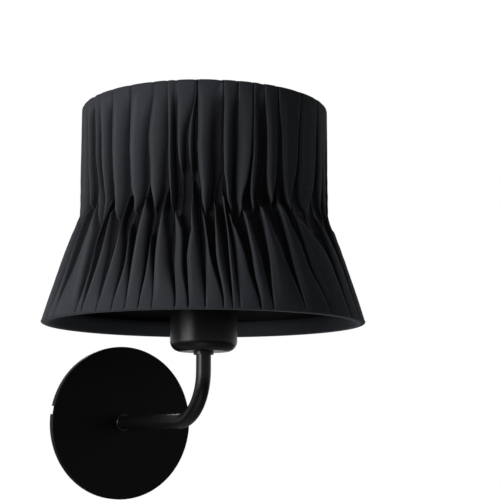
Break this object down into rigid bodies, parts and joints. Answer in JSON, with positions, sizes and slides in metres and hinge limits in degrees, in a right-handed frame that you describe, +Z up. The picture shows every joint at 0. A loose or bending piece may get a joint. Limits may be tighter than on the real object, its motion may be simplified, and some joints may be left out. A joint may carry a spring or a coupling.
{
  "type": "fabric shade wall light",
  "caption": "Wall light with a round wall plate, a bent tube arm, a cup lampholder and a gathered fabric shade that is drum-shaped above and flares below its waist.",
  "frame": {"origin": "on the wall plane, at the centre of the two wall screw slots, on the axis of the arm", "axes": "+X to the right of someone who faces the wall, +Y into the wall, +Z up; the lamp stands out along -Y"},
  "size_m": [0.2132, 0.2321, 0.2647],
  "materials": {
    "black_metal": "satin powder coat",
    "zinc_steel": "zinc plated",
    "brass": "plain",
    "black_plastic": "moulded",
    "white_ceramic": "glazed",
    "frame_wire": "black coated wire",
    "lining": "cloth faced sheet",
    "cover_cloth": "gathered cotton",
    "brown_lead": "insulated wire",
    "blue_lead": "insulated wire"
  },
  "bodies": {
    "fixture": {"wall_plate": "black_metal", "wall_bracket": "zinc_steel", "side_screws": "black_metal", "earth_washer": "brass", "earth_screw": "brass", "arm_tube": "black_metal", "base_collar": "black_metal", "base_washer": "zinc_steel", "base_nut": "zinc_steel", "holder_cup": "black_metal", "cup_collar": "black_metal", "cup_washer": "zinc_steel", "cup_nut": "zinc_steel", "lampholder_cap": "black_plastic", "contact_insulator": "white_ceramic", "screw_shell": "brass", "holder_sleeve": "black_plastic", "contact_foot": "brass", "terminals": "brass", "terminal_screws": "zinc_steel", "live_lead": "brown_lead", "neutral_lead": "blue_lead"},
    "contact": {"centre_contact": "brass"},
    "shade": {"fitter_ring": "frame_wire", "fitter_arms": "frame_wire", "top_ring": "frame_wire", "waist_ring": "frame_wire", "bottom_ring": "frame_wire", "upper_ribs": "frame_wire", "lower_ribs": "frame_wire", "upper_lining": "lining", "lower_lining": "lining", "pleated_cover": "cover_cloth"},
    "clamp_ring": {"shade_ring": "black_plastic"}
  },
  "joints": [
    {"name": "shade_lift", "type": "slide", "parent": "fixture", "child": "shade", "axis": [0, 0, 1], "range_m": [0, 0.08]},
    {"name": "shade_ring_turn", "type": "hinge", "parent": "shade", "child": "clamp_ring", "pos_m": [0, -0.1255, 0.111], "axis": [0, 0, 1], "range_deg": [0, 1080]},
    {"name": "contact_press", "type": "hinge", "parent": "fixture", "child": "contact", "pos_m": [-0.0087, -0.1255, 0.0846], "axis": [0, 1, 0], "range_deg": [0, 9], "stiffness_Nm_per_rad": 0.25}
  ]
}
